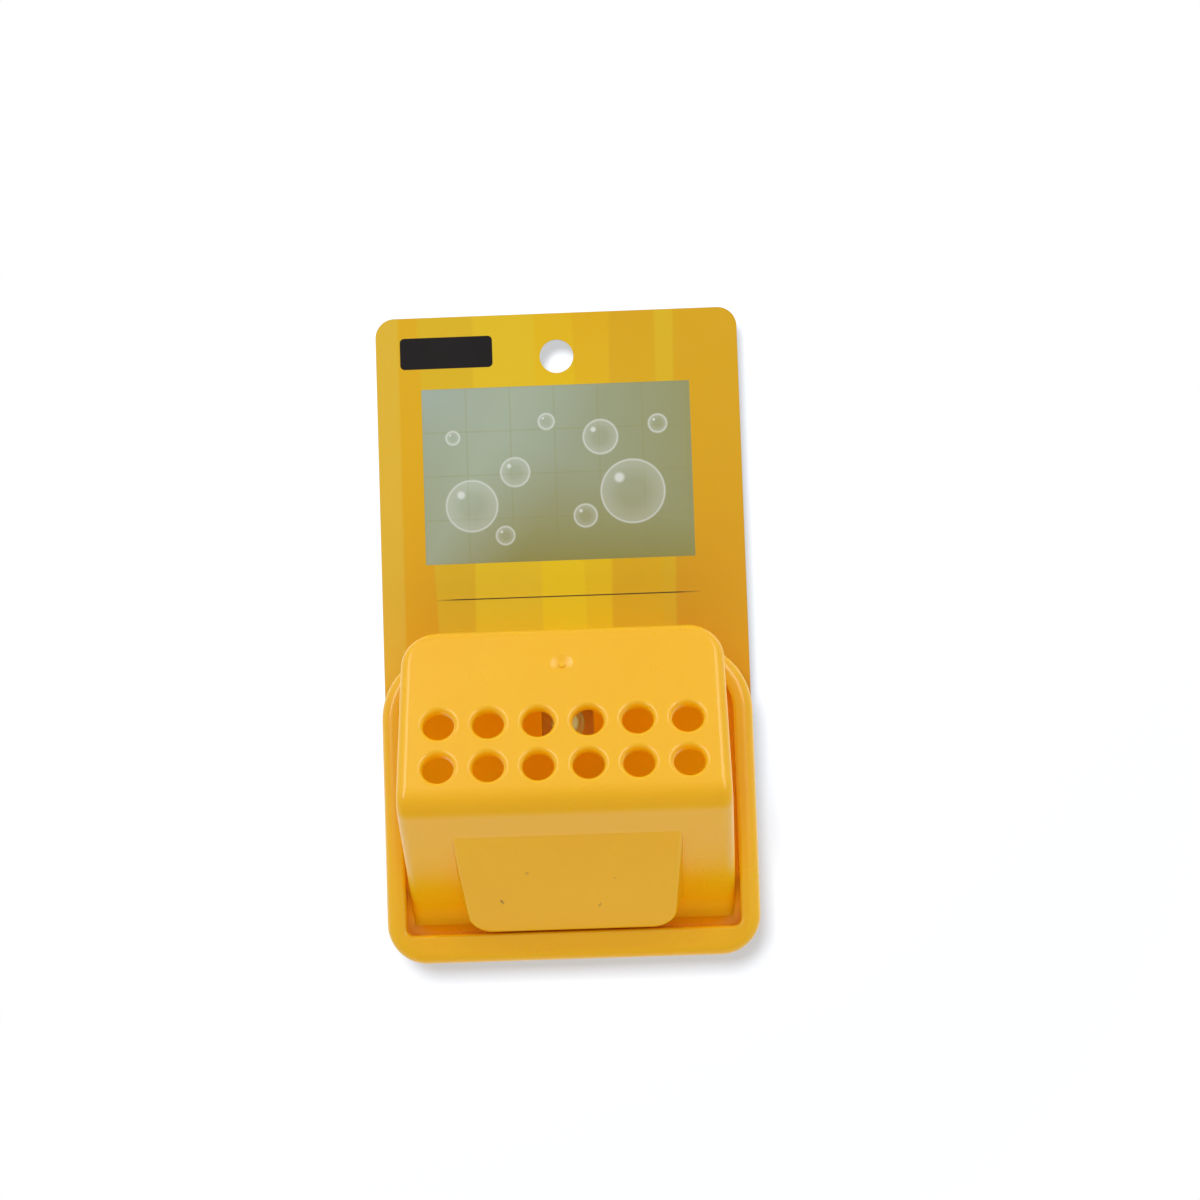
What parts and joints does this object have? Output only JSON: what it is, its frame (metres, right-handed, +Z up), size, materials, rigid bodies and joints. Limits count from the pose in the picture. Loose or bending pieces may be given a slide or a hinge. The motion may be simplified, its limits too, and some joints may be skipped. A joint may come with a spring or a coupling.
{
  "type": "sponge holder",
  "caption": "Wall sponge holder: yellow moulded tray with a leaning, holed front pocket, hung on a clear suction cup and a printed hang card.",
  "frame": {"origin": "middle of the suction cup's face on the wall", "axes": "+Y into the wall along the cup's axis, +Z up, +X to the right as seen from the front"},
  "size_m": [0.095, 0.0579, 0.1672],
  "materials": {
    "yellow_plastic": "satin",
    "clear_vinyl": "gloss",
    "printed_card": "satin"
  },
  "bodies": {
    "cup": {"suction_cup": "clear_vinyl"},
    "holder": {"back_tray": "yellow_plastic", "front_pocket": "yellow_plastic"},
    "card": {"backing_card": "printed_card"}
  },
  "joints": [
    {"name": "holder_swivel", "type": "hinge", "parent": "cup", "child": "holder", "pos_m": [0, 0, 0], "axis": [0, 1, 0], "continuous": true},
    {"name": "card_swivel", "type": "hinge", "parent": "cup", "child": "card", "pos_m": [0, 0, 0], "axis": [0, 1, 0], "continuous": true}
  ]
}
